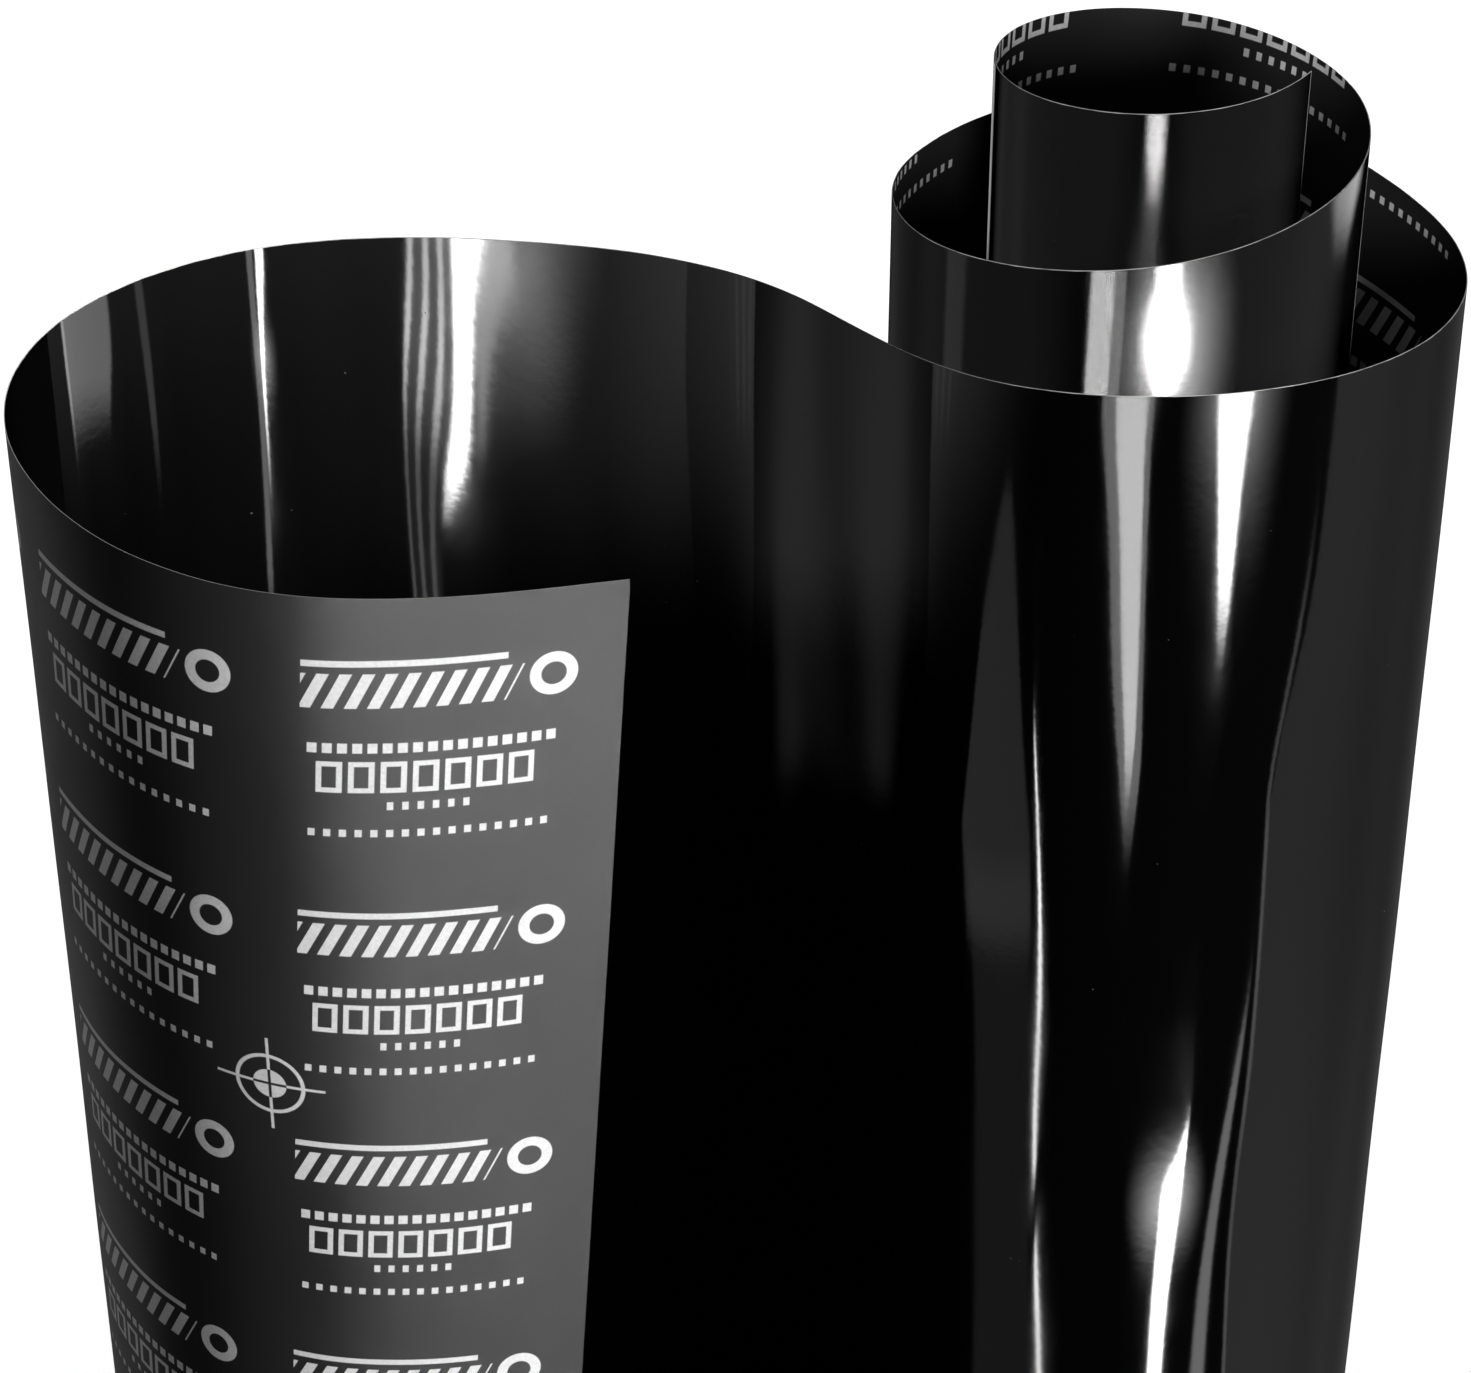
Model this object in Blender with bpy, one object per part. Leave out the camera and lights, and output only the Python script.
"""Roll of sign vinyl, partly opened and standing on its long edge as a loose S.

The sheet is a laminate of three layers: a gloss film, its adhesive and a release liner. Each layer is
divided along its length into strips, so that the flexible sheet can move. A strip of all three layers
is one rigid body. Bodies are joined by upright hinges, where the sheet bends, and by upright slides,
where the inner turns telescope. Distances along the sheet start at its loose outer end.

Units are metres, +Z is up, and the sheet stands on Z = 0.
"""

import math

import bpy

# The sheet's size is an assumption: a stock cut of 5 ft from a roll 24 in wide.
SHEET_LENGTH = 1.524
SHEET_WIDTH = 0.6096

# The laminate, from the gloss face to the printed back. The gaps keep the layers separate solids.
FILM_THICKNESS = 0.00009
ADHESIVE_THICKNESS = 0.00003
LINER_THICKNESS = 0.00016
LAYER_GAP = 0.00002

# The long edges climb towards the inner end, because each inner turn is pushed up out of the next.
EDGE_CLIMB = 0.07
# The lower edge is trimmed level along this length, which is what the sheet stands on.
STANDING_LENGTH = 0.850
# The two skins on the liner stop this far above the floor.
SKIN_LIFT = 0.0003
# How much of the loose end's cut is left upright at its top corner, so that no face ends in a point.
CORNER_HEIGHT = 0.003

# How the sheet bends: distance along the sheet, and the bend radius there. A minus bends to the right
# seen from above and walking towards the inner end. Between two rows the bend changes evenly.
BENDS = (
    (0.000, 0.600),
    (0.100, -0.088),
    (0.180, -0.110),
    (0.260, -0.068),
    (0.340, -0.100),
    (0.420, -0.390),
    (0.500, -0.104),
    (0.580, 0.091),
    (0.660, 0.120),
    (0.750, 0.051),
    (0.820, 0.212),
    (0.890, 0.052),
    (0.970, 0.132),
    (1.060, 0.052),
    (1.180, 0.088),
    (1.350, 0.048),
    (1.524, 0.046),
)
START_HEADING = math.radians(198)

# The strips: a long one at each end of the sheet, and equal ones between them.
STRIP_PITCH = SHEET_LENGTH / 18
END_STRIP = 1.5 * STRIP_PITCH
PEEL_LENGTH = STRIP_PITCH
CURL_STRIPS = 5
ROLL_STRIPS = 11
STRIP_GAP = 0.0003
FACETS_PER_STRIP = 10

# The sheet's curve is worked out at points this far apart.
STEP = 0.001


def bend_at(distance):
    """The curvature at a distance along the sheet, in 1/m."""
    for (start, start_radius), (end, end_radius) in zip(BENDS, BENDS[1:]):
        if distance <= end:
            share = (distance - start) / (end - start)
            return (1 - share) / start_radius + share / end_radius
    return 1 / BENDS[-1][1]


def walk_sheet():
    """The sheet's middle line seen from above, as (x, y, heading) at every STEP."""
    x, y, heading = 0.0, 0.0, START_HEADING
    line = [(x, y, heading)]
    for step in range(round(SHEET_LENGTH / STEP)):
        turn = bend_at((step + 0.5) * STEP) * STEP
        x += math.cos(heading + turn / 2) * STEP
        y += math.sin(heading + turn / 2) * STEP
        heading += turn
        line.append((x, y, heading))
    return line


def centred(line):
    """The same line, moved so that the origin is in the middle of the space that the sheet stands on."""
    half = FILM_THICKNESS + LAYER_GAP + (ADHESIVE_THICKNESS + LINER_THICKNESS) / 2
    faces_x = [x - side * math.sin(heading) for x, y, heading in line for side in (-half, half)]
    faces_y = [y + side * math.cos(heading) for x, y, heading in line for side in (-half, half)]
    middle_x = (min(faces_x) + max(faces_x)) / 2
    middle_y = (min(faces_y) + max(faces_y)) / 2
    return [(x - middle_x, y - middle_y, heading) for x, y, heading in line]


LINE = centred(walk_sheet())


def place(distance):
    """(x, y, heading) at any distance along the sheet."""
    index = min(int(distance / STEP), len(LINE) - 2)
    share = distance / STEP - index
    return tuple((1 - share) * a + share * b for a, b in zip(LINE[index], LINE[index + 1]))


def lower_edge(distance):
    """The sheet's lowest point here. The loose end is cut square to the climbing edges, so it leans."""
    cut_end = upper_edge(distance) - CORNER_HEIGHT - distance / EDGE_CLIMB
    return max(0.0, EDGE_CLIMB * (distance - STANDING_LENGTH), cut_end)


def upper_edge(distance):
    upright_width = SHEET_WIDTH / math.cos(math.atan(EDGE_CLIMB))
    return upright_width + EDGE_CLIMB * (distance - STANDING_LENGTH)


def layer_sides():
    """Each layer's two faces, as offsets from the middle line. The film is on the right of the walk."""
    thicknesses = (
        ("film", FILM_THICKNESS),
        ("adhesive", ADHESIVE_THICKNESS),
        ("liner", LINER_THICKNESS),
    )
    total = sum(thickness for _, thickness in thicknesses) + 2 * LAYER_GAP
    sides = {}
    side = -total / 2
    for layer, thickness in thicknesses:
        sides[layer] = (side, side + thickness)
        side += thickness + LAYER_GAP
    return sides


def strip_edges():
    """The distances at which the sheet is divided into strips."""
    inner_edges = [END_STRIP + index * STRIP_PITCH for index in range(CURL_STRIPS + ROLL_STRIPS)]
    return [0.0, *inner_edges, SHEET_LENGTH]


def body_names():
    """The strips' names from the loose end: the curl, the bridge, then the roll."""
    curl = [f"curl_{number}" for number in range(CURL_STRIPS, 0, -1)]
    roll = [f"roll_{number:02d}" for number in range(1, ROLL_STRIPS + 1)]
    return [*curl, "bridge", *roll]


def material_for(layer):
    looks = {
        "film": ((0.012, 0.012, 0.013), 0.07),
        "adhesive": ((0.30, 0.30, 0.29), 0.35),
        "liner": ((0.085, 0.085, 0.09), 0.38),
    }
    material = bpy.data.materials.new(f"{layer}_material")
    material.use_nodes = True
    shader = material.node_tree.nodes["Principled BSDF"]
    colour, roughness = looks[layer]
    shader.inputs["Base Color"].default_value = (*colour, 1)
    shader.inputs["Roughness"].default_value = roughness
    shader.inputs["Metallic"].default_value = 0
    return material


def strip_corners(distance, sides, lift, origin):
    """The four corners of a layer's cross-section at one distance, measured from origin."""
    x, y, heading = place(distance)
    low = max(lower_edge(distance), lift)
    high = upper_edge(distance)
    corners = []
    for side, height in ((sides[0], low), (sides[1], low), (sides[1], high), (sides[0], high)):
        corner_x = x - side * math.sin(heading) - origin[0]
        corner_y = y + side * math.cos(heading) - origin[1]
        corners.append((corner_x, corner_y, height))
    return corners


def add_strip(name, sides, start, end, lift, material, joint):
    """One layer of one strip, as a closed solid whose origin is on the joint's axis."""
    first = start + (STRIP_GAP / 2 if start > 0 else 0)
    last = end - (STRIP_GAP / 2 if end < SHEET_LENGTH else 0)
    facets = max(4, round(FACETS_PER_STRIP * (end - start) / STRIP_PITCH))
    corners = []
    for station in range(facets + 1):
        distance = first + (last - first) * station / facets
        corners += strip_corners(distance, sides, lift, joint.matrix_world.translation)
    faces = [(3, 2, 1, 0), tuple(4 * facets + corner for corner in range(4))]
    for station in range(facets):
        near = 4 * station
        for corner in range(4):
            beside = (corner + 1) % 4
            faces.append((near + corner, near + beside, near + 4 + beside, near + 4 + corner))
    mesh = bpy.data.meshes.new(name)
    mesh.from_pydata(corners, [], faces)
    mesh.materials.append(material)
    mesh.shade_smooth()
    mesh.set_sharp_from_angle(angle=math.radians(40))
    strip = bpy.data.objects.new(name, mesh)
    bpy.context.scene.collection.objects.link(strip)
    strip.parent = joint
    return strip


def add_joint(name, distance, parent):
    """An empty on the upright axis where two strips meet. It stands on the floor."""
    joint = bpy.data.objects.new(name, None)
    joint.empty_display_size = 0.02
    bpy.context.scene.collection.objects.link(joint)
    x, y, _ = place(distance)
    joint.location = (x, y, 0)
    if parent:
        joint.location = joint.location - parent.matrix_world.translation
        joint.parent = parent
    bpy.context.view_layer.update()
    return joint


def add_joints(names, edges):
    """One empty for each body, in a tree that starts at the bridge."""
    bridge = names.index("bridge")
    joints = {"bridge": add_joint("joint_bridge", edges[bridge], None)}
    for index in range(bridge - 1, -1, -1):
        parent = joints[names[index + 1]]
        joints[names[index]] = add_joint(f"joint_{names[index]}", edges[index + 1], parent)
    for index in range(bridge + 1, len(names)):
        parent = joints[names[index - 1]]
        joints[names[index]] = add_joint(f"joint_{names[index]}", edges[index], parent)
    joints["liner_peel"] = add_joint("joint_liner_peel", PEEL_LENGTH, joints[names[0]])
    return joints


def build():
    for old in list(bpy.data.objects):
        bpy.data.objects.remove(old, do_unlink=True)
    names = body_names()
    edges = strip_edges()
    joints = add_joints(names, edges)
    for layer, sides in layer_sides().items():
        material = material_for(layer)
        lift = 0.0 if layer == "liner" else SKIN_LIFT
        for name, start, end in zip(names, edges, edges[1:]):
            if layer == "liner" and start == 0:
                peel = joints["liner_peel"]
                add_strip("liner_peel_tail", sides, start, PEEL_LENGTH, lift, material, peel)
                start = PEEL_LENGTH
            add_strip(f"{layer}_{name}", sides, start, end, lift, material, joints[name])


build()
